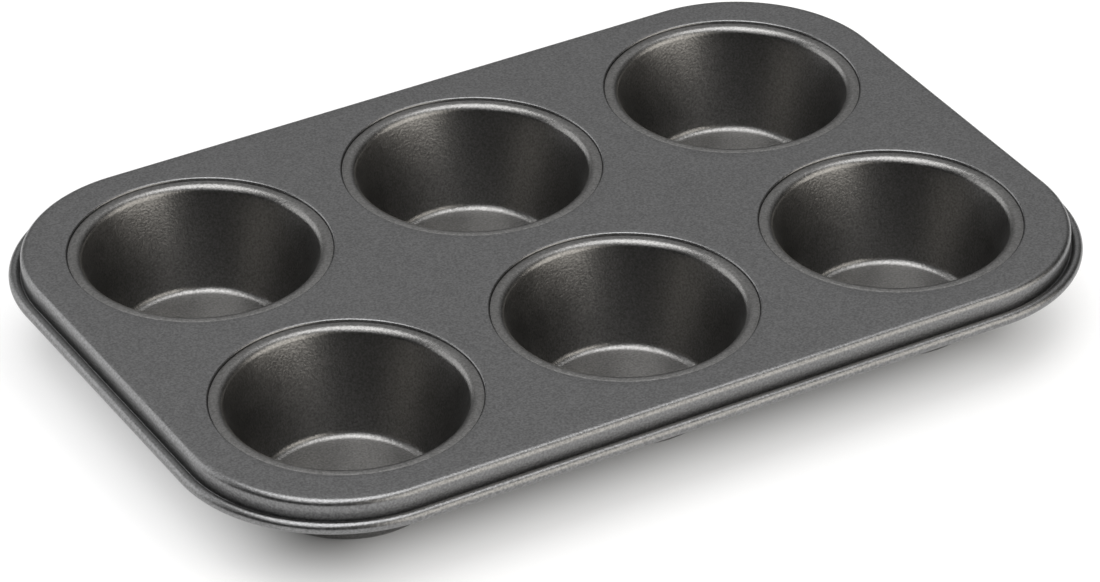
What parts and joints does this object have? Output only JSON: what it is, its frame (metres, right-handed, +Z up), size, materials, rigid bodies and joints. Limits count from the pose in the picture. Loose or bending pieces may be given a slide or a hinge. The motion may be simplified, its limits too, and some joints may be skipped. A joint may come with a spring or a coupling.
{
  "type": "muffin pan",
  "caption": "Flat steel baking pan whose separate tapered cups are seamed into round holes, with a turned-down edge curled round a wire.",
  "frame": {"origin": "centre of the bounding box at its base, the plane that the cups' undersides rest on", "axes": "+X along the long sides, towards the right-hand cups; +Y towards the back row; +Z up, out of the cups' mouths"},
  "size_m": [0.2656, 0.1796, 0.029],
  "materials": {
    "deck_steel": "dark grey non-stick coating with a fine satin speckle",
    "cup_steel": "the same dark grey non-stick coating, slightly warmer inside the cups",
    "wire_steel": "plain drawn steel wire"
  },
  "bodies": {
    "root": {"pan_deck": "deck_steel", "rim_wire": "wire_steel", "cup_back_left": "cup_steel", "cup_back_middle": "cup_steel", "cup_back_right": "cup_steel", "cup_front_left": "cup_steel", "cup_front_middle": "cup_steel", "cup_front_right": "cup_steel"}
  },
  "joints": []
}
